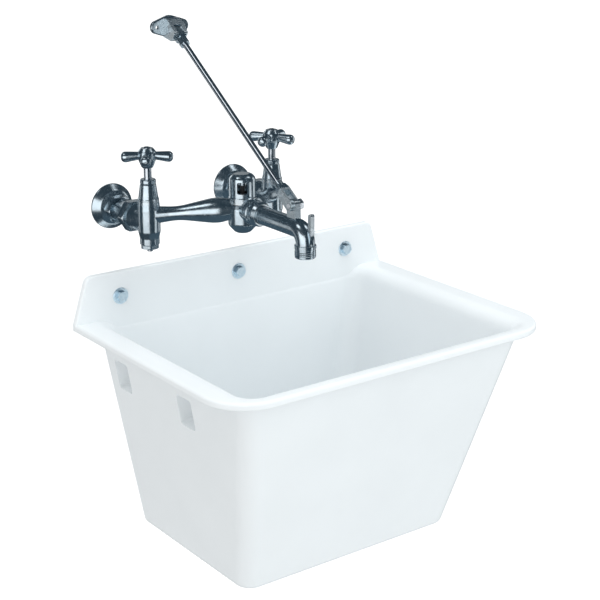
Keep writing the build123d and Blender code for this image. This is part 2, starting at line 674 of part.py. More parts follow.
def packing_nut():
    low = PACKING_Z + PACKING_HEIGHT + SEATED
    return turned([(STEM_R + RUNNING, low), (PACKING_R - SEATED, low),
                   (PACKING_R - SEATED, BONNET_TOP + SEATED), (PACKING_NUT_R, BONNET_TOP + SEATED),
                   (PACKING_NUT_R, PACKING_NUT_TOP),
                   (STEM_R + RUNNING, PACKING_NUT_TOP)], {3: 1.0, 4: 2.0})


def handle_arm():
    """Round arm that swells to a full, domed end."""
    tip = HANDLE_REACH - HANDLE_ARM_TIP_R
    return turned([(0, 0), (HANDLE_ARM_ROOT_R, 0), (HANDLE_ARM_ROOT_R, HUB_R * 0.9),
                   (HANDLE_ARM_TIP_R, tip), (HANDLE_ARM_TIP_R, HANDLE_REACH), (0, HANDLE_REACH)],
                  {2: 14.0, 3: 6.0, 4: HANDLE_ARM_TIP_R * 0.8})


def handle(side):
    """Four-armed cross handle on a tapered hub with a square socket."""
    hub = turned([(0, HUB_BOTTOM), (STEM_R + 1.2, HUB_BOTTOM), (STEM_R + 2.8, HUB_BOTTOM + 1.5),
                  (HUB_R - 0.8, HUB_BOTTOM + 10), (HUB_R, HUB_BOTTOM + 13), (HUB_R, HUB_TOP - 5),
                  (HUB_R - 4, HUB_TOP), (0, HUB_TOP)], {3: 6.0, 5: 4.0})
    lowered = Pos(0, 0, HANDLE_ARM_Z) * Rot(Y=90 + HANDLE_DROOP) * handle_arm()
    for quarter in range(4):
        hub += Rot(Z=HANDLE_TURNS[side] + 90 * quarter) * lowered
    low, high = STEM_SQUARE_Z, STEM_TOP + SEATED
    socket = Pos(0, 0, (low + high) / 2) * Box(STEM_SQUARE + RUNNING, STEM_SQUARE + RUNNING, high - low)
    hub -= socket + bored(STEM_R + RUNNING, HUB_BOTTOM - 1, STEM_SQUARE_Z + SEATED)
    hub -= bored(HANDLE_SCREW_R + THREAD, STEM_TOP - 1, HUB_TOP + 1)
    return hub - bored(HANDLE_SCREW_HEAD_R + THREAD, HUB_TOP - 2.5, HUB_TOP + 1)


def handle_screw():
    """Domed screw that holds the handle down on the stem's square."""
    seat = HUB_TOP - 2.5 + SEATED
    return turned([(0, STEM_TOP - 13), (HANDLE_SCREW_R, STEM_TOP - 13), (HANDLE_SCREW_R, seat),
                   (HANDLE_SCREW_HEAD_R, seat), (HANDLE_SCREW_HEAD_R, HUB_TOP + 0.4),
                   (HANDLE_SCREW_HEAD_R * 0.55, HUB_TOP + 1.8), (0, HUB_TOP + 1.8)], {5: 1.5})


# The stop: a plunger that a slotted spindle lifts against the port from below

PLUNGER_TOP = STOP_SEAT_Z - STOP_LEAD * STOP_TURNS - SEATED
PLUNGER_LOW = PLUNGER_TOP - 6.4


def stop_plunger():
    body = turned([(0, PLUNGER_LOW), (4, PLUNGER_LOW), (4, PLUNGER_LOW + 3), (6.8, PLUNGER_LOW + 3),
                   (6.8, PLUNGER_TOP - 0.6), (6.2, PLUNGER_TOP), (0, PLUNGER_TOP)])
    return body - bored(2.0 + RUNNING, PLUNGER_LOW - 1, PLUNGER_LOW + 5)


def stop_spindle():
    thread_low = BODY_BOTTOM + 1
    spindle = turned([(0, STOP_TIP_Z), (STOP_TIP_R - 0.6, STOP_TIP_Z), (STOP_TIP_R, STOP_TIP_Z + 0.6),
                      (STOP_TIP_R, thread_low), (STOP_SPINDLE_R, thread_low),
                      (STOP_SPINDLE_R, PLUNGER_LOW - APART), (2.0, PLUNGER_LOW - APART),
                      (2.0, PLUNGER_LOW + 4.6), (0, PLUNGER_LOW + 4.6)])
    return spindle - Pos(0, 0, STOP_TIP_Z) * Box(12, 1.3, 4.4)


def stop_cap():
    flange_top = BODY_BOTTOM - SEATED
    flange_low = flange_top - STOP_CAP_THICK
    ledge = BODY_BOTTOM - 2
    cap = turned([(STOP_SPINDLE_R + THREAD, BODY_BOTTOM + 7), (STOP_CHAMBER_R - THREAD, BODY_BOTTOM + 7),
                  (STOP_CHAMBER_R - THREAD, flange_top), (STOP_CAP_R, flange_top), (STOP_CAP_R, flange_low),
                  (STOP_TIP_R + RUNNING, flange_low), (STOP_TIP_R + RUNNING, ledge),
                  (STOP_SPINDLE_R + THREAD, ledge)], {4: 1.5})
    wrench = extrude(RegularPolygon(STOP_CAP_R * 0.95, 6, major_radius=False), STOP_CAP_THICK)
    wrench = Pos(0, 0, flange_low) * wrench
    return cap & (wrench + bored(STOP_CHAMBER_R, flange_low, BODY_BOTTOM + 8))


# --- Vacuum breaker ----------------------------------------------------------------------------

CAP_LOW = CENTRE_TOP + 1.2 + SEATED
AIR_SEAT_Z = NECK_TOP + APART + FLOAT_THICK + FLOAT_TRAVEL + 0.2
WINDOW_LOW = AIR_SEAT_Z + 2.2
WINDOW_HIGH = BREAKER_TOP - 9.2


def breaker_cap():
    """Domed cap with air windows; inside, the air seat and the guide for the float's stem."""
    inner = BREAKER_R - BREAKER_WALL
    dome = turned([(0, CAP_LOW), (BREAKER_SKIRT_R, CAP_LOW), (BREAKER_SKIRT_R, NECK_TOP + 1),
                   (BREAKER_R, NECK_TOP + 2), (BREAKER_R, BREAKER_TOP), (0, BREAKER_TOP)], {4: 9.0})
    hollow = turned([(0, CAP_LOW - 1), (NECK_R + THREAD, CAP_LOW - 1), (NECK_R + THREAD, NECK_TOP + SEATED),
                     (inner, NECK_TOP + SEATED), (inner, AIR_SEAT_Z), (FLOAT_R - 2.5, AIR_SEAT_Z),
                     (FLOAT_R - 2.5, AIR_SEAT_Z + 1.8), (inner, AIR_SEAT_Z + 1.8), (inner, BREAKER_TOP - 4),
                     (FLOAT_STEM_R + 2, BREAKER_TOP - 4), (FLOAT_STEM_R + 2, BREAKER_TOP - 16),
                     (FLOAT_STEM_R + RUNNING, BREAKER_TOP - 16), (FLOAT_STEM_R + RUNNING, BREAKER_TOP - 5),
                     (0, BREAKER_TOP - 5)], {8: 5.0})
    window = extrude(RectangleRounded(WINDOW_HIGH - WINDOW_LOW, WINDOW_WIDTH, WINDOW_CORNER_R), BREAKER_WALL * 5)
    window = Pos(BREAKER_R - BREAKER_WALL * 3, 0, (WINDOW_LOW + WINDOW_HIGH) / 2) * Rot(Y=90) * window
    cap = dome - hollow
    for turn in range(BREAKER_WINDOWS):
        cap -= Rot(Z=BREAKER_TURN + turn * 360 / BREAKER_WINDOWS) * window
    return cap


def breaker_float():
    low = NECK_TOP + APART
    return turned([(0, low), (FLOAT_R, low), (FLOAT_R, low + FLOAT_THICK),
                   (FLOAT_STEM_R + 1.5, low + FLOAT_THICK), (FLOAT_STEM_R, low + FLOAT_THICK + 1.5),
                   (FLOAT_STEM_R, BREAKER_TOP - 14), (0, BREAKER_TOP - 14)])


# --- Spout -------------------------------------------------------------------------------------

BEND_START = OUTLET_REACH - SPOUT_BEND_R
DROP_Z = SPOUT_RISE - SPOUT_BEND_R
SPOUT_END_Z = DROP_Z - 2.0


def spout_tube(radius, start, end_z):
    """Straight run out from the wall, quarter bend and drop, as one solid of the given radius."""
    run = Pos(0, 0, SPOUT_RISE) * out_from_wall(bored(radius, start, BEND_START))
    bend_axis = Axis((0, -BEND_START, DROP_Z), (1, 0, 0))
    section = Plane(origin=(0, -BEND_START, SPOUT_RISE), z_dir=(0, -1, 0)) * Circle(radius)
    bend = revolve(section, bend_axis, 90)
    if bend.bounding_box().min.Y > -BEND_START - radius:
        bend = revolve(section, bend_axis, -90)
    drop = Pos(0, -OUTLET_REACH, 0) * bored(radius, end_z, DROP_Z)
    return run + bend + drop


def spout_lug():
    """Upright lug on the spout that the brace's fork straddles."""
    rear = BRACE_PIVOT_REACH - FORK_R - 2
    return side_profile([(rear + 2, SPOUT_RISE + SPOUT_R - 4), (rear, BRACE_PIVOT_RISE), (rear, LUG_TOP),
                         (LUG_END, LUG_TOP), (LUG_END + 1, SPOUT_RISE + SPOUT_R - 4)], LUG_WIDTH,
                        {2: 7.0, 3: 4.0})


def pail_hook():
    """Upright finger at the spout's nose, on a rib that runs down to the nozzle."""
    nose = OUTLET_REACH + SPOUT_R
    front = nose + 3
    return side_profile([(OUTLET_REACH, DROP_Z), (OUTLET_REACH, SPOUT_RISE - 6),
                         (front - HOOK_THICK - 1, SPOUT_RISE - 4), (front - HOOK_THICK, HOOK_TOP),
                         (front, HOOK_TOP), (front, SPOUT_RISE - 4), (nose, DROP_Z)],
                        HOOK_WIDTH, {3: 2.6, 4: 2.6, 5: 8.0})


def spout():
    solid = spout_tube(SPOUT_R, SPOUT_START, SPOUT_END_Z)
    collar = out_from_wall(ring(SPOUT_BORE_R, SPOUT_COLLAR_R, SPOUT_START, SPOUT_START + 5))
    solid += Pos(0, 0, SPOUT_RISE) * collar
    solid += spout_lug()
    solid += pail_hook()
    solid += Pos(0, -OUTLET_REACH, 0) * bored(SPIGOT_R, SPOUT_END_Z - SPIGOT_LENGTH, DROP_Z)
    solid -= spout_tube(SPOUT_BORE_R, SPOUT_START - 1, SPOUT_END_Z - SPIGOT_LENGTH - 1)
    pivot = Rot(Y=90) * Cylinder(BRACE_BOLT_R + RUNNING, FAR / 10)
    return solid - Pos(0, -BRACE_PIVOT_REACH, BRACE_PIVOT_RISE) * pivot


def spout_nut():
    """Round nut with a wrench hexagon that draws the spout's collar onto the boss."""
    low = SPOUT_START - 7
    high = low + SPOUT_NUT_LENGTH
    shelf = SPOUT_START + 5 + SEATED
    nut = turned([(0, low), (SPOUT_NUT_R, low), (SPOUT_NUT_R, low + 9), (SPOUT_NUT_R - 1.4, low + 10),
                  (SPOUT_NUT_R - 1.4, low + 12), (SPOUT_NUT_R - 0.6, low + 13), (SPOUT_NUT_R - 0.6, high - 5),
                  (SPOUT_R + 2.2, high), (0, high)], {1: 1.0, 6: 2.5})
    nut -= bored(BOSS_R + THREAD, low - 1, shelf)
    return Pos(0, 0, SPOUT_RISE) * out_from_wall(nut - bored(SPOUT_R + APART, low, high + 1))


def spout_washer():
    low = SPOUT_START - 2 - 2 * SEATED
    washer = ring(SPOUT_BORE_R, SPOUT_COLLAR_R, low, SPOUT_START - SEATED)
    return Pos(0, 0, SPOUT_RISE) * out_from_wall(washer)


def hose_nozzle():
    """Hose-thread outlet screwed into the end of the spout."""
    top = SPOUT_END_Z - SEATED
    low = top - NOZZLE_LENGTH
    body = turned([(0, low), (NOZZLE_THREAD_R - 1, low), (NOZZLE_THREAD_R, low + 1),
                   (NOZZLE_THREAD_R, top - 5), (NOZZLE_RIM_R, top - 4.4), (NOZZLE_RIM_R, top), (0, top)],
                  {5: 0.8})
    body -= bored(SPIGOT_R + THREAD, SPOUT_END_Z - SPIGOT_LENGTH - SEATED, top + 1)
    return Pos(0, -OUTLET_REACH, 0) * (body - bored(SPOUT_BORE_R - 2, low - 1, top))


# --- Brace: in its own frame, +Z runs from the spout's lug up to the wall bracket ------------------

BRACE_RUN = BRACE_PIVOT_REACH - BRACKET_PIVOT_REACH
BRACE_CLIMB = BRACKET_PIVOT_RISE - BRACE_PIVOT_RISE
BRACE_LENGTH = hypot(BRACE_RUN, BRACE_CLIMB)
BRACE_LEAN = degrees(atan2(BRACE_CLIMB, BRACE_RUN))
FORK_WIDTH = FORK_GAP + 2 * FORK_TINE
EYE_LOW = BRACE_LENGTH - EYE_LENGTH


def strap(width, radius, low, high, pivot_z):
    """Flat bar across X with a round end about its pivot."""
    end = Pos(0, 0, pivot_z) * Rot(Y=90) * Cylinder(radius, width)
    return end + Pos(0, 0, (low + high) / 2) * Box(width, radius * 2, high - low)


def cross_bore(radius, z):
    return Pos(0, 0, z) * Rot(Y=90) * Cylinder(radius, FAR / 10)


def brace_fork():
    """Fork with two flat tines that narrow to a socket for the rod."""
    neck = ROD_R + 2.2
    throat = FORK_SLOT + 4
    solid = strap(FORK_WIDTH, FORK_R, 0, throat, 0)
    shoulder = Rectangle(FORK_WIDTH, FORK_R * 2)
    solid += Pos(0, 0, throat) * loft([shoulder, Pos(0, 0, 8) * Rectangle(neck * 1.8, neck * 1.8)])
    solid += bored(neck, throat + 6, FORK_LENGTH)
    slot_low = -FORK_R - 1
    solid -= Pos(0, 0, (slot_low + FORK_SLOT) / 2) * Box(FORK_GAP, FORK_R * 2 + 2, FORK_SLOT - slot_low)
    return solid - cross_bore(BRACE_BOLT_R + RUNNING, 0) - bored(ROD_R + THREAD, throat + 2, FORK_LENGTH + 1)


def brace_bolt():
    """Pivot bolt: head on the right tine, end flush with the left one."""
    half = FORK_WIDTH / 2
    bolt = turned([(0, -half), (BRACE_BOLT_R - 0.5, -half), (BRACE_BOLT_R, -half + 0.5),
                   (BRACE_BOLT_R, half + SEATED), (0, half + SEATED)])
    return Rot(Y=90) * (bolt + Pos(0, 0, half + SEATED) * hexagon(BRACE_BOLT_FLATS, 5.5))


def brace_rod():
    low = FORK_SLOT + 4 + 2 + APART
    high = BRACE_LENGTH - EYE_FLAT - 2
    return turned([(0, low), (ROD_R - 0.6, low), (ROD_R, low + 0.6), (ROD_R, high), (0, high)])


def brace_eye():
    """Hexagonal ferrule on the rod that flattens into the eye for the bracket's pin."""
    hex_high = BRACE_LENGTH - EYE_FLAT
    solid = Pos(0, 0, EYE_LOW) * hexagon(EYE_HEX_FLATS, hex_high - EYE_LOW)
    solid += strap(EYE_THICK, EYE_R, hex_high - 1, BRACE_LENGTH, BRACE_LENGTH)
    solid -= bored(ROD_R + THREAD, EYE_LOW - 1, hex_high - 1.5)
    return solid - cross_bore(PIN_R + RUNNING, BRACE_LENGTH)


def wall_bracket():
    """Two-eared wall plate with a hooded clevis for the brace's eye."""
    plate_z = BRACKET_PIVOT_RISE + 4.6
    rounds = [Circle(BRACKET_CENTRE_R)]
    rounds += [Pos(side * BRACKET_EARS / 2, 0) * Circle(BRACKET_EAR_R) for side in (-1, 1)]
    outline = make_hull([edge for circle in rounds for edge in circle.edges()])
    plate = extrude(outline, BRACKET_THICK)
    plate = fillet(edges_at(plate, BRACKET_THICK), 1.5)
    for side in (-1, 1):
        plate -= Pos(side * BRACKET_EARS / 2, 0, 0) * Cylinder(BRACKET_HOLE_R, BRACKET_THICK * 4)
    solid = Pos(0, 0, plate_z) * out_from_wall(plate)
    z, reach = BRACKET_PIVOT_RISE, BRACKET_PIVOT_REACH
    solid += side_profile([(BRACKET_THICK - 1, z - 9), (BRACKET_THICK - 1, z + 17), (reach - 6, z + 17),
                           (reach + 14, z - 1), (reach + 5, z - 13)], BRACKET_CHEEKS, {2: 5.0, 3: 3.0, 4: 3.0})
    throat = EYE_R + 2
    solid -= side_profile([(reach - throat, z - 30), (reach - throat, z + throat), (reach + 30, z + throat),
                           (reach + 30, z - 30)], EYE_THICK + 2 * APART, {1: throat - 1})
    return solid - Pos(0, -reach, z) * Rot(Y=90) * Cylinder(PIN_R + THREAD / 2, FAR / 10)


def bracket_pin():
    half = BRACKET_CHEEKS / 2
    pin = turned([(0, -half), (PIN_R - 0.4, -half), (PIN_R, -half + 0.4), (PIN_R, half + SEATED),
                  (5.0, half + SEATED), (5.0, half + 1.4), (3.6, half + 2.4), (0, half + 2.4)])
    return Pos(0, -BRACKET_PIVOT_REACH, BRACKET_PIVOT_RISE) * Rot(Y=90) * pin


# --- Write every piece ------------------------------------------------------------------------------


def write(name, solid):
    export_step(solid, f"parts/{name}.step")


def both_valves(piece):
    return Compound(children=[Pos(x, -VALVE_REACH, INLET_Z) * piece for x in VALVE_XS.values()])


def main():
    write("tub", tub())
    write("wall_bolts", bolt_row(wall_bolt()))
    write("wall_bolt_washers", bolt_row(bolt_washer()))
    for name, solid in drain_set().items():
        write(name, Pos(0, -DRAIN_REACH, 0) * solid)

    on_wall = Pos(FAUCET_X, 0, INLET_Z)
    write("faucet_body", on_wall * faucet_body())
    write("coupling_washers", Compound(children=[Pos(x, 0, INLET_Z) * out_from_wall(coupling_washer())
                                                 for x in VALVE_XS.values()]))
    write("valve_seats", both_valves(valve_seat()))
    write("stem_packings", both_valves(stem_packing()))
    for side, x in VALVE_XS.items():
        for name, solid in {"wall_flange": wall_flange(), "inlet_nipple": inlet_nipple(),
                            "coupling_nut": coupling_nut()}.items():
            write(f"{side}_{name}", Pos(x, 0, INLET_Z) * out_from_wall(solid))
        for name, solid in {"bonnet": bonnet(), "packing_nut": packing_nut(), "stem": stem(),
                            "washer_holder": washer_holder(), "seat_washer": seat_washer(),
                            "handle": handle(side), "handle_screw": handle_screw(), "stop_cap": stop_cap(),
                            "stop_spindle": stop_spindle(), "stop_plunger": stop_plunger()}.items():
            write(f"{side}_{name}", Pos(x, -VALVE_REACH, INLET_Z) * solid)

    over_centre = Pos(FAUCET_X, -CENTRE_REACH, INLET_Z)
    gasket = ring(NECK_R + THREAD, BREAKER_R - 0.5, CENTRE_TOP, CENTRE_TOP + 1.2)
    write("breaker_gasket", over_centre * gasket)
    write("breaker_cap", over_centre * breaker_cap())
    write("breaker_float", over_centre * breaker_float())
    write("spout", on_wall * spout())
    write("spout_nut", on_wall * spout_nut())
    write("spout_washer", on_wall * spout_washer())
    write("hose_nozzle", on_wall * hose_nozzle())
    along_brace = on_wall * Pos(0, -BRACE_PIVOT_REACH, BRACE_PIVOT_RISE) * Rot(X=BRACE_LEAN - 90)
    for name, solid in {"brace_fork": brace_fork(), "brace_bolt": brace_bolt(), "brace_rod": brace_rod(),
                        "brace_eye": brace_eye()}.items():
        write(name, along_brace * solid)
    write("wall_bracket", on_wall * wall_bracket())
    write("bracket_pin", on_wall * bracket_pin())


main()
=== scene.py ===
import json
import math

import bpy
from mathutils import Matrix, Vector


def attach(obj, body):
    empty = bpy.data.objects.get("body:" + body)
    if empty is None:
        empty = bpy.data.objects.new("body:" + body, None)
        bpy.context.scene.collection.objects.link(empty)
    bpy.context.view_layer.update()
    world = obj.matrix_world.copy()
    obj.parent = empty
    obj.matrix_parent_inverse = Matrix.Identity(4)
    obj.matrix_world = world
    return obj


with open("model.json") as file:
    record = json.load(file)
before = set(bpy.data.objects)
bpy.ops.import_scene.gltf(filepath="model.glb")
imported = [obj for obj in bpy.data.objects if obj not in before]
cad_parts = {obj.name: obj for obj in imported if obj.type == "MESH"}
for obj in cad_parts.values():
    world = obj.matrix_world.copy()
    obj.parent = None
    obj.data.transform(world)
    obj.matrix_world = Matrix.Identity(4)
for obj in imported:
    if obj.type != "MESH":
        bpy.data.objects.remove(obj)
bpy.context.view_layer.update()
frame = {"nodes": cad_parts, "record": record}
bpy.context.scene.view_settings.view_transform = "Standard"


# --- Node helpers -----------------------------------------------------------------------------


class Nodes:
    """A material under construction, with short calls for the nodes that every surface uses."""

    def __init__(self, name):
        self.material = bpy.data.materials.new(name)
        self.material.use_nodes = True
        self.tree = self.material.node_tree
        self.shader = self.tree.nodes["Principled BSDF"]
        self.place = self.tree.nodes.new("ShaderNodeTexCoord").outputs["Object"]

    def set(self, **values):
        """Set the shader's sockets by name, with _ for a space."""
        for name, value in values.items():
            self.shader.inputs[name.replace("_", " ")].default_value = value

    def link(self, a, b):
        self.tree.links.new(a, b)

    def noise(self, scale, detail=3.0, rough=0.5, distortion=0.0, stretch=None):
        """Noise over the object's own coordinates, drawn out along an axis where stretch says so."""
        node = self.tree.nodes.new("ShaderNodeTexNoise")
        node.inputs["Scale"].default_value = scale
        node.inputs["Detail"].default_value = detail
        node.inputs["Roughness"].default_value = rough
        node.inputs["Distortion"].default_value = distortion
        place = self.place
        if stretch:
            mapping = self.tree.nodes.new("ShaderNodeMapping")
            mapping.inputs["Scale"].default_value = stretch
            self.link(place, mapping.inputs["Vector"])
            place = mapping.outputs["Vector"]
        self.link(place, node.inputs["Vector"])
        return node.outputs["Fac"]

    def tone(self, value, value_range, low, high):
        """Colour that goes from low to high as a value passes through a range."""
        node = self.tree.nodes.new("ShaderNodeValToRGB")
        for stop, position, color in zip(node.color_ramp.elements, value_range, (low, high)):
            stop.position = position
            stop.color = (*color, 1)
        self.link(value, node.inputs["Fac"])
        return node.outputs["Color"]

    def span(self, value, value_range, result_range):
        """Number that goes through the result's range as a value passes through its own."""
        node = self.tree.nodes.new("ShaderNodeMapRange")
        node.inputs["From Min"].default_value, node.inputs["From Max"].default_value = value_range
        node.inputs["To Min"].default_value, node.inputs["To Max"].default_value = result_range
        self.link(value, node.inputs["Value"])
        return node.outputs["Result"]

    def mix(self, factor, a, b):
        """Colour a where the factor is 0, and b where it is 1."""
        node = self.tree.nodes.new("ShaderNodeMix")
        node.data_type = "RGBA"
        sockets = {s.name + s.type: s for s in node.inputs}
        for key, value in (("FactorVALUE", factor), ("ARGBA", a), ("BRGBA", b)):
            if isinstance(value, bpy.types.NodeSocket):
                self.link(value, sockets[key])
            else:
                sockets[key].default_value = value
        return [s for s in node.outputs if s.type == "RGBA"][0]

    def math(self, kind, a, b):
        """Result of one sum on two sockets or numbers."""
        node = self.tree.nodes.new("ShaderNodeMath")
        node.operation = kind
        for socket, value in zip(node.inputs, (a, b)):
            if isinstance(value, bpy.types.NodeSocket):
                self.link(value, socket)
            else:
                socket.default_value = value
        return node.outputs["Value"]

    def edge_wear_and_glint(self):
        """Mask that is 1 on convex edges, for rubbed wear and for painted edge highlights."""
        geometry = self.tree.nodes.new("ShaderNodeNewGeometry")
        return self.span(geometry.outputs["Pointiness"], (0.52, 0.62), (0.0, 1.0))

    def bump(self, height, strength, distance):
        """Small relief in the shading alone, with its distance in metres."""
        node = self.tree.nodes.new("ShaderNodeBump")
        node.inputs["Strength"].default_value = strength
        node.inputs["Distance"].default_value = distance
        self.link(height, node.inputs["Height"])
        self.link(node.outputs["Normal"], self.shader.inputs["Normal"])


# --- Materials --------------------------------------------------------------------------------


def moulded_white():
    """Satin moulded plastic, a little cloudy, duller where edges are rubbed."""
    m = Nodes("tub_white")
    cloud = m.noise(9.0, detail=4.0)
    tone = m.tone(cloud, (0.3, 0.7), (0.88, 0.91, 0.925), (0.905, 0.935, 0.95))
    m.link(tone, m.shader.inputs["Base Color"])
    scuff = m.noise(60.0, detail=6.0, rough=0.7, distortion=0.4)
    rough = m.span(scuff, (0.3, 0.75), (0.30, 0.44))
    m.link(m.math("ADD", rough, m.math("MULTIPLY", m.edge_wear_and_glint(), 0.10)), m.shader.inputs["Roughness"])
    m.bump(m.noise(420.0, detail=2.0), strength=0.10, distance=0.0006)
    m.set(Specular_IOR_Level=0.45)
    return m.material


def polished_chrome():
    """Chrome with a faint haze; its convex edges are paler, a painted highlight, and duller where they
    are rubbed.
    """
    m = Nodes("polished_chrome")
    cloud = m.noise(55.0, detail=4.0)
    rubbed_and_glinting_edge = m.edge_wear_and_glint()
    tone = m.tone(cloud, (0.3, 0.7), (0.59, 0.685, 0.745), (0.70, 0.785, 0.84))
    # convex edges mixed towards a paler tone: a painted edge highlight
    m.link(m.mix(rubbed_and_glinting_edge, tone, (0.82, 0.88, 0.91, 1)), m.shader.inputs["Base Color"])
    haze = m.noise(140.0, detail=6.0, rough=0.65)
    rough = m.span(haze, (0.3, 0.75), (0.16, 0.30))
    m.link(m.math("ADD", rough, m.math("MULTIPLY", rubbed_and_glinting_edge, 0.08)), m.shader.inputs["Roughness"])
    m.bump(m.noise(90.0), strength=0.08, distance=0.0006)
    m.set(Metallic=1.0)
    return m.material


def plated_steel(name, low, high, rough):
    """Plated steel that varies between two tones."""
    m = Nodes(name)
    cloud = m.noise(180.0, detail=5.0, rough=0.6)
    m.link(m.tone(cloud, (0.3, 0.7), low, high), m.shader.inputs["Base Color"])
    grain = m.noise(320.0, detail=5.0)
    m.link(m.span(grain, (0.3, 0.7), (rough, rough + 0.12)), m.shader.inputs["Roughness"])
    m.bump(m.noise(240.0), strength=0.08, distance=0.0002)
    m.set(Metallic=1.0)
    return m.material


def brushed_stainless():
    """Stainless steel with fine brush lines that run level round the drain."""
    m = Nodes("stainless")
    lines = m.noise(70.0, detail=4.0, rough=0.6, stretch=(1.0, 1.0, 26.0))
    tone = m.tone(lines, (0.3, 0.7), (0.56, 0.57, 0.58), (0.70, 0.71, 0.72))
    m.link(tone, m.shader.inputs["Base Color"])
    m.link(m.span(lines, (0.3, 0.7), (0.22, 0.38)), m.shader.inputs["Roughness"])
    m.bump(lines, strength=0.12, distance=0.0002)
    m.set(Metallic=1.0)
    return m.material


def machined_brass():
    """Bare brass with darker stains."""
    m = Nodes("plain_brass")
    stain = m.noise(90.0, detail=5.0, rough=0.6)
    tone = m.tone(stain, (0.3, 0.75), (0.42, 0.29, 0.11), (0.68, 0.50, 0.22))
    m.link(tone, m.shader.inputs["Base Color"])
    m.link(m.span(stain, (0.3, 0.7), (0.25, 0.42)), m.shader.inputs["Roughness"])
    m.bump(m.noise(400.0), strength=0.15, distance=0.0003)
    m.set(Metallic=1.0)
    return m.material


def soft_part(name, low, high, rough):
    """Rubber, packing or dull plastic that varies between two tones."""
    m = Nodes(name)
    grain = m.noise(260.0, detail=5.0, rough=0.6)
    m.link(m.tone(grain, (0.3, 0.7), low, high), m.shader.inputs["Base Color"])
    cloud = m.noise(120.0, detail=4.0)
    m.link(m.span(cloud, (0.3, 0.7), (rough, rough + 0.16)), m.shader.inputs["Roughness"])
    m.bump(grain, strength=0.2, distance=0.0003)
    return m.material


MATERIALS = {
    "tub_white": moulded_white(),
    "polished_chrome": polished_chrome(),
    "zinc_steel": plated_steel("zinc_steel", (0.66, 0.81, 0.91), (0.80, 0.92, 0.99), 0.26),
    "bright_steel": plated_steel("bright_steel", (0.62, 0.66, 0.70), (0.74, 0.77, 0.81), 0.10),
    "stainless": brushed_stainless(),
    "plain_brass": machined_brass(),
    "black_rubber": soft_part("black_rubber", (0.018, 0.018, 0.019), (0.045, 0.045, 0.047), 0.62),
    "packing_white": soft_part("packing_white", (0.62, 0.61, 0.56), (0.74, 0.73, 0.69), 0.70),
    "float_plastic": soft_part("float_plastic", (0.03, 0.03, 0.032), (0.07, 0.07, 0.075), 0.40),
}


def dress_frame():
    """Give every carried-over node its material."""
    slots = {s["node"]: s["material_slot"] for s in frame["record"]["subparts"]}
    for name, node in frame["nodes"].items():
        node.data.materials.clear()
        node.data.materials.append(MATERIALS[slots[name]])


dress_frame()


# --- Screw threads ----------------------------------------------------------------------------

MOUNTS = {mount["name"]: mount for mount in frame["record"]["mounts"]}
STEPS_PER_TURN = 28
FOOT = 0.42  # half the ridge's width at its foot, as a share of the pitch
SUNK = 0.0001  # how far the foot stands inside the shank


def add_mesh(name, points, faces, material):
    """Object with a mesh of one material."""
    mesh = bpy.data.meshes.new(name)
    mesh.from_pydata(points, [], faces)
    mesh.materials.append(material)
    item = bpy.data.objects.new(name, mesh)
    bpy.context.scene.collection.objects.link(item)
    return item


def add_thread(name, slot, mount, start, length, pitch, depth):
    """Right-hand thread ridge on a mount's plain shank, run out over half a turn at both ends.

    Its start is measured from the mount's place, along the mount's axis."""
    shank = MOUNTS[mount]
    radius = shank["dims"]["r_mm"] / 1000
    axis = Vector(shank["axis"])
    across = axis.orthogonal().normalized()
    around_axis = axis.cross(across)
    steps = int(length / pitch * STEPS_PER_TURN)
    run_out = STEPS_PER_TURN / 2
    points = []
    for i in range(steps + 1):
        angle = 2 * math.pi * i / STEPS_PER_TURN
        radial = across * math.cos(angle) + around_axis * math.sin(angle)
        height = depth * min(1.0, i / run_out, (steps - i) / run_out)
        for offset, reach in ((-FOOT, -SUNK), (0.0, height), (FOOT, -SUNK)):
            along = start + pitch * (i / STEPS_PER_TURN + offset)
            points.append(Vector(shank["pos_m"]) + axis * along + radial * (radius + reach))
    faces = [(3 * i + k, 3 * i + (k + 1) % 3, 3 * i + 3 + (k + 1) % 3, 3 * i + 3 + k)
             for i in range(steps) for k in range(3)]
    faces += [(2, 1, 0), (3 * steps, 3 * steps + 1, 3 * steps + 2)]
    ridge = add_mesh(name, points, faces, MATERIALS[slot])
    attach(ridge, "fixture")


for side in ("left", "centre", "right"):
    add_thread(f"{side}_bolt_thread", "zinc_steel", f"wall_bolt_{side}",
               start=0.014, length=0.035, pitch=0.0030, depth=0.0006)
for side in ("left", "right"):
    add_thread(f"{side}_supply_thread", "polished_chrome", f"{side}_supply",
               start=-0.002, length=0.0155, pitch=0.0018, depth=0.0005)
add_thread("hose_thread", "polished_chrome", "hose_thread",
           start=-0.0043, length=0.0092, pitch=0.0022, depth=0.0005)


# --- Camera and light -------------------------------------------------------------------------

CAMERA_PLACE = (-1.1756, -1.7555, 0.645)
CAMERA_LOOK = (0.56465, 0.76398, -0.31227)
FLOOR_Z = -0.90
FLOOR_SIZE = (30, 30)
FLOOR_LIFT = 0.42  # the floor's own glow where it is seen directly
CARD_FOOT = FLOOR_Z + 0.06
DRUM_RADIUS = 2.6
ARC_RADIUS = 2.4
FAUCET = (-0.1, -0.15, 0.15)  # the faucet's middle, which the drum and the cards stand round
FADED = 0.25  # share of an arc's glow that is left below its fade
DARK_BLUE = (0.29, 0.45, 0.58)
COOL_WHITE = (0.96, 0.985, 1.0)


def add_camera():
    """The photograph's view, fitted to the sink's straight edges."""
    camera = bpy.data.cameras.new("camera")
    camera.sensor_width = 36.0
    camera.lens = 87.67
    camera.clip_end = 50.0
    holder = bpy.data.objects.new("camera", camera)
    bpy.context.scene.collection.objects.link(holder)
    holder.location = CAMERA_PLACE
    holder.rotation_euler = Vector(CAMERA_LOOK).to_track_quat("-Z", "Y").to_euler()
    bpy.context.scene.camera = holder


def aim(item, place, target):
    """Put an item somewhere with its -Z side towards a target."""
    item.location = place
    item.rotation_euler = (Vector(target) - Vector(place)).to_track_quat("-Z", "Y").to_euler()


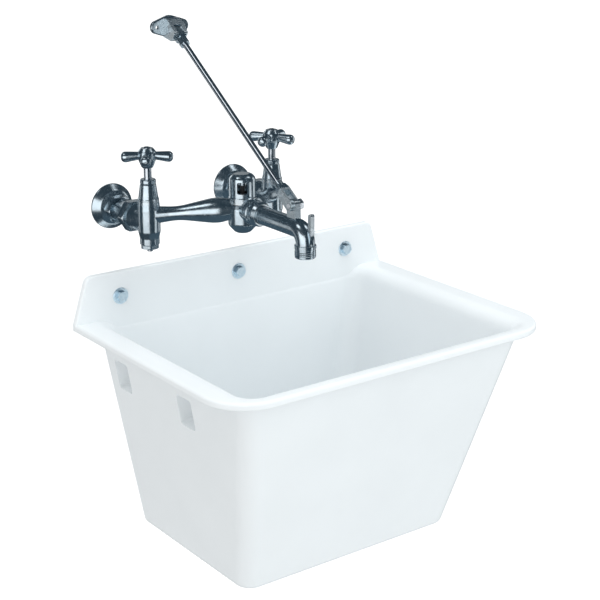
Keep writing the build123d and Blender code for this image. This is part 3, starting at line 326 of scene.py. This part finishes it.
def area_light(name, place, target, size, power, color):
    """Soft lamp that lights surfaces and isn't mirrored in polished metal."""
    light = bpy.data.lights.new(name, "AREA")
    light.shape = "RECTANGLE"
    light.size, light.size_y = size
    light.energy = power
    light.color = color
    holder = bpy.data.objects.new(name, light)
    bpy.context.scene.collection.objects.link(holder)
    holder.visible_glossy = False
    aim(holder, place, target)


def flat_panel(name, place, target, size, material):
    """Flat rectangle that faces a target."""
    x, y = size[0] / 2, size[1] / 2
    corners = [(-x, -y, 0), (x, -y, 0), (x, y, 0), (-x, y, 0)]
    panel = add_mesh(name, corners, [(0, 1, 2, 3)], material)
    aim(panel, place, target)
    return panel


def reflected_only(card):
    """The card shows only as a reflection."""
    card.visible_camera = False
    card.visible_diffuse = False
    card.visible_shadow = False
    card.visible_transmission = False


def reflected_mesh(name, points, faces, material):
    """Card of any shape that shows only as a reflection."""
    card = add_mesh(name, points, faces, material)
    reflected_only(card)


def glowing_material(name, color, strength):
    """Even glow."""
    material = bpy.data.materials.new(name)
    material.use_nodes = True
    tree = material.node_tree
    tree.nodes.clear()
    glow = tree.nodes.new("ShaderNodeEmission")
    glow.inputs["Color"].default_value = (*color, 1)
    glow.inputs["Strength"].default_value = strength
    output = tree.nodes.new("ShaderNodeOutputMaterial")
    tree.links.new(glow.outputs["Emission"], output.inputs["Surface"])
    return material


def graded_glow(name, color, strength, low, high):
    """Glow that fades towards the floor, between two heights."""
    material = glowing_material(name, color, strength)
    tree = material.node_tree
    split = tree.nodes.new("ShaderNodeSeparateXYZ")
    tree.links.new(tree.nodes.new("ShaderNodeTexCoord").outputs["Object"], split.inputs["Vector"])
    grade = tree.nodes.new("ShaderNodeMapRange")
    grade.interpolation_type = "SMOOTHSTEP"
    levels = {"From Min": low, "From Max": high, "To Min": strength * FADED, "To Max": strength}
    for socket, value in levels.items():
        grade.inputs[socket].default_value = value
    tree.links.new(split.outputs["Z"], grade.inputs["Value"])
    tree.links.new(grade.outputs["Result"], tree.nodes["Emission"].inputs["Strength"])
    return material


def around(azimuth, radius, height):
    """Point on a circle round the faucet. Azimuth 0 is the camera's side, and it grows to its right."""
    angle = math.radians(azimuth) + math.atan2(CAMERA_PLACE[1], CAMERA_PLACE[0])
    x, y = FAUCET[:2]
    return Vector((x + radius * math.cos(angle), y + radius * math.sin(angle), height))


def reflection_drum(low, high):
    """Closed drum round the object that polished metal reflects as its dark surroundings."""
    steps = 72
    points = [around(360 * i / steps, DRUM_RADIUS, z) for z in (low, high) for i in range(steps)]
    faces = [(i, (i + 1) % steps, steps + (i + 1) % steps, steps + i) for i in range(steps)]
    faces += [tuple(range(steps)), tuple(range(steps, steps * 2))]
    material = glowing_material("dark_surroundings", DARK_BLUE, 0.115)
    reflected_mesh("reflected_drum", points, faces, material)


def reflection_arc(name, start, end, high, strength, low=CARD_FOOT, fade=(-0.85, -0.35)):
    """Bright upright band between two azimuths and two heights. It dims down through those in fade."""
    steps = 24
    points = [around(start + (end - start) * i / steps, ARC_RADIUS, z)
              for z in (low, high) for i in range(steps + 1)]
    faces = [(i, i + 1, steps + i + 2, steps + i + 1) for i in range(steps)]
    reflected_mesh(name, points, faces, graded_glow(name, COOL_WHITE, strength, *fade))


def reflection_strip(name, azimuth, radius, height, size, strength):
    """Bright card high over the faucet."""
    material = glowing_material(name, (0.95, 0.98, 1.0), strength)
    reflected_only(flat_panel(name, around(azimuth, radius, height), FAUCET, size, material))


def dark_flag():
    """Dark card between faucet and tub, as the photographed faucet doesn't mirror a white tub."""
    place = Vector((-0.10, -0.165, 0.042))
    below = place - Vector((0, 0, 1))
    size = (0.32, 0.27)
    material = glowing_material("flag", DARK_BLUE, 0.22)
    reflected_only(flat_panel("dark_flag", place, below, size, material))


def seen_directly(tree):
    """Socket that is 1 for camera, glossy and transmission rays, and 0 for lighting ones."""
    path = tree.nodes.new("ShaderNodeLightPath")
    total = path.outputs["Is Camera Ray"]
    for name in ("Is Glossy Ray", "Is Transmission Ray"):
        either = tree.nodes.new("ShaderNodeMath")
        either.operation = "MAXIMUM"
        tree.links.new(total, either.inputs[0])
        tree.links.new(path.outputs[name], either.inputs[1])
        total = either.outputs["Value"]
    return total


def add_floor():
    """Pale floor that keeps the object's shadow, lifted a little where it is seen directly."""
    material = bpy.data.materials.new("floor")
    material.use_nodes = True
    tree = material.node_tree
    shader = tree.nodes["Principled BSDF"]
    shader.inputs["Base Color"].default_value = (0.86, 0.86, 0.86, 1)
    shader.inputs["Roughness"].default_value = 0.9
    shader.inputs["Emission Color"].default_value = (1, 1, 1, 1)
    lift = tree.nodes.new("ShaderNodeMath")
    lift.operation = "MULTIPLY"
    lift.inputs[1].default_value = FLOOR_LIFT
    tree.links.new(seen_directly(tree), lift.inputs[0])
    tree.links.new(lift.outputs["Value"], shader.inputs["Emission Strength"])
    flat_panel("floor", (0, 0, FLOOR_Z), (0, 0, FLOOR_Z - 1), FLOOR_SIZE, material)


def add_world():
    """White where it is seen, and a plain even light on the object."""
    world = bpy.data.worlds.new("world")
    bpy.context.scene.world = world
    world.use_nodes = True
    tree = world.node_tree
    tree.nodes.clear()
    output = tree.nodes.new("ShaderNodeOutputWorld")
    seen = tree.nodes.new("ShaderNodeBackground")
    seen.inputs["Color"].default_value = (1, 1, 1, 1)
    seen.inputs["Strength"].default_value = 1.0
    light = tree.nodes.new("ShaderNodeBackground")
    light.inputs["Color"].default_value = (0.975, 0.995, 1.0, 1)
    light.inputs["Strength"].default_value = 0.865
    mix = tree.nodes.new("ShaderNodeMixShader")
    tree.links.new(seen_directly(tree), mix.inputs["Fac"])
    tree.links.new(light.outputs["Background"], mix.inputs[1])
    tree.links.new(seen.outputs["Background"], mix.inputs[2])
    tree.links.new(mix.outputs["Shader"], output.inputs["Surface"])


add_camera()
add_world()
add_floor()
area_light("key", place=(0.9, -3.7, 1.6), target=(0, -0.2, -0.1), size=(3.0, 3.0),
           power=31.0, color=(0.88, 0.965, 1.0))
area_light("left_fill", place=(-3.0, -1.2, 0.2), target=(0, -0.2, -0.2), size=(2.0, 2.0),
           power=3.0, color=(1.0, 0.78, 0.66))
area_light("top", place=(-0.2, -0.6, 2.8), target=(0, -0.2, 0), size=(2.0, 2.0),
           power=27.0, color=(0.94, 0.975, 1.0))
reflection_drum(low=-0.85, high=2.4)
reflection_arc("soft_front", start=-62, end=2, high=1.25, strength=1.35)
reflection_arc("soft_right", start=62, end=82, high=-0.34, strength=1.2, fade=(-1.3, -0.8))
reflection_arc("soft_left", start=-118, end=-104, high=0.3, strength=0.7)
reflection_arc("soft_back", start=177, end=195, low=0.6, high=1.5, strength=0.35)
reflection_arc("soft_side", start=106, end=130, high=1.2, strength=0.85)
reflection_arc("soft_wall", start=-158, end=-136, high=1.2, strength=1.0)
reflection_strip("strip_high", azimuth=-66, radius=1.3, height=2.2, size=(0.8, 0.8), strength=1.8)
reflection_strip("strip_right", azimuth=97, radius=1.4, height=2.2, size=(0.7, 0.7), strength=1.6)
dark_flag()
